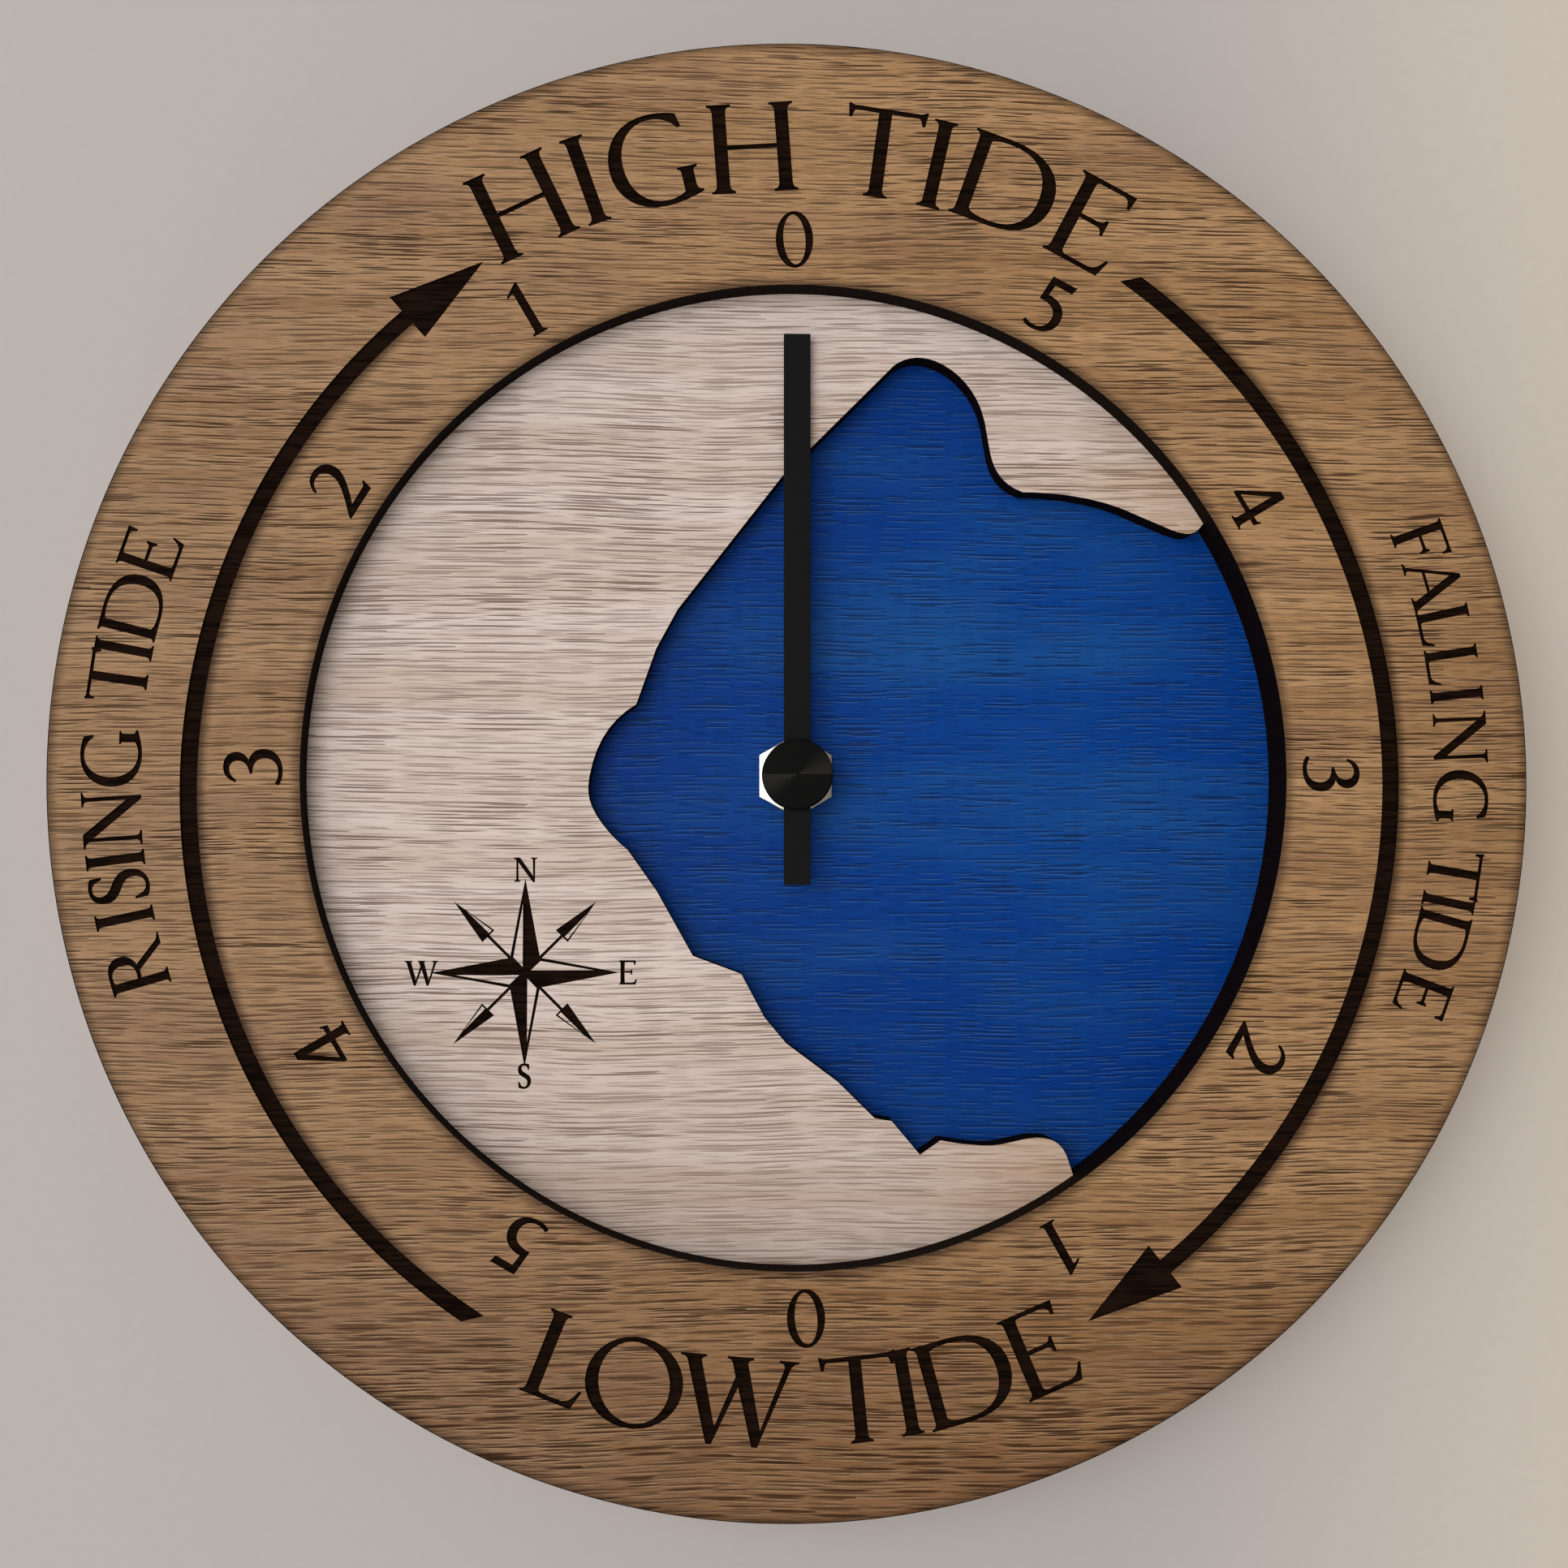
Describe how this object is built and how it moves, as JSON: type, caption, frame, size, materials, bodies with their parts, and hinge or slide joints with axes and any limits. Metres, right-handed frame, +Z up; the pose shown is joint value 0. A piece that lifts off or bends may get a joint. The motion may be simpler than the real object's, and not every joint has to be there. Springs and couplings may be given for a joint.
{
  "type": "tide clock",
  "caption": "Round wall-hung tide clock: layered wooden dial with a bay-shaped recess, one long hand, and a battery movement with gears behind it.",
  "frame": {"origin": "on the wall plane, straight behind the hand's arbor", "axes": "+Z up, +Y into the wall, so the dial faces -Y; +X to the right as the dial is read"},
  "size_m": [0.3, 0.038, 0.3],
  "materials": {
    "oak_veneer": "open-pored oak veneer, laser engraved, charred cut edges",
    "washed_veneer": "whitewashed oak veneer, charred cut edges",
    "blue_paint": "satin blue paint over open-pored veneer",
    "black_metal": "satin black lacquer",
    "nickel": "bright nickel plate",
    "brass": "turned brass",
    "rubber": "black rubber",
    "case_plastic": "moulded black plastic",
    "wheel_plastic": "moulded white acetal",
    "knob_plastic": "moulded light plastic",
    "plate_plastic": "moulded grey plastic",
    "steel": "bare steel",
    "magnet": "sintered magnet",
    "copper": "enamelled copper wire",
    "board_green": "green circuit board",
    "chip_black": "moulded black resin",
    "cell_sleeve": "printed steel sleeve, bare ends"
  },
  "bodies": {
    "clock": {"dial_ring": "oak_veneer", "land_layer": "washed_veneer", "sea_disc": "blue_paint", "rubber_gasket": "rubber", "dial_washer": "nickel", "hex_nut": "nickel", "threaded_bush": "brass", "movement_case": "case_plastic", "rear_cover": "case_plastic", "gear_plate": "plate_plastic", "stator_plate": "steel", "coil_core": "steel", "coil_bobbin": "plate_plastic", "coil_winding": "copper", "circuit_board": "board_green", "quartz_crystal": "nickel", "driver_chip": "chip_black", "positive_contact": "brass", "negative_contact": "brass"},
    "hand": {"tide_hand": "black_metal", "hand_collet": "brass", "hub_cap": "black_metal", "tide_wheel": "brass"},
    "setter": {"set_arbor": "steel", "set_pinion": "steel", "friction_spring": "steel", "set_knob": "knob_plastic"},
    "clutch": {"clutch_wheel": "wheel_plastic"},
    "third": {"third_wheel": "wheel_plastic"},
    "second": {"second_wheel": "wheel_plastic"},
    "first": {"first_wheel": "wheel_plastic"},
    "rotor": {"rotor_pinion": "steel", "rotor_magnet": "magnet"},
    "battery": {"battery_cell": "cell_sleeve"}
  },
  "joints": [
    {"name": "hand_turn", "type": "hinge", "parent": "clock", "child": "hand", "pos_m": [0, -0.0338, 0], "axis": [0, -1, 0], "continuous": true},
    {"name": "knob_turn", "type": "hinge", "parent": "clock", "child": "setter", "pos_m": [0.00896, -0.012, 0.00752], "axis": [0, -1, 0], "continuous": true},
    {"name": "rotor_turn", "type": "hinge", "parent": "clock", "child": "rotor", "pos_m": [0.01246, -0.009, -0.00724], "axis": [0, -1, 0], "continuous": true},
    {"name": "first_turn", "type": "hinge", "parent": "clock", "child": "first", "pos_m": [0.01679, -0.0074, -0.00609], "axis": [0, -1, 0], "continuous": true},
    {"name": "second_turn", "type": "hinge", "parent": "clock", "child": "second", "pos_m": [0.0187, -0.0085, -0.00082], "axis": [0, -1, 0], "continuous": true},
    {"name": "third_turn", "type": "hinge", "parent": "clock", "child": "third", "pos_m": [0.01684, -0.0097, 0.00613], "axis": [0, -1, 0], "continuous": true},
    {"name": "clutch_turn", "type": "hinge", "parent": "clock", "child": "clutch", "pos_m": [0.00896, -0.0117, 0.00752], "axis": [0, -1, 0], "continuous": true},
    {"name": "battery_lift", "type": "slide", "parent": "clock", "child": "battery", "axis": [0, 1, 0], "range_m": [0, 0.03]}
  ],
  "couplings": [
    {"joint": "knob_turn", "follows": "hand_turn", "ratio": -7.6667},
    {"joint": "first_turn", "follows": "rotor_turn", "ratio": -0.16667},
    {"joint": "second_turn", "follows": "rotor_turn", "ratio": 0.027778},
    {"joint": "third_turn", "follows": "rotor_turn", "ratio": -0.0030864},
    {"joint": "clutch_turn", "follows": "rotor_turn", "ratio": 0.00034294}
  ]
}
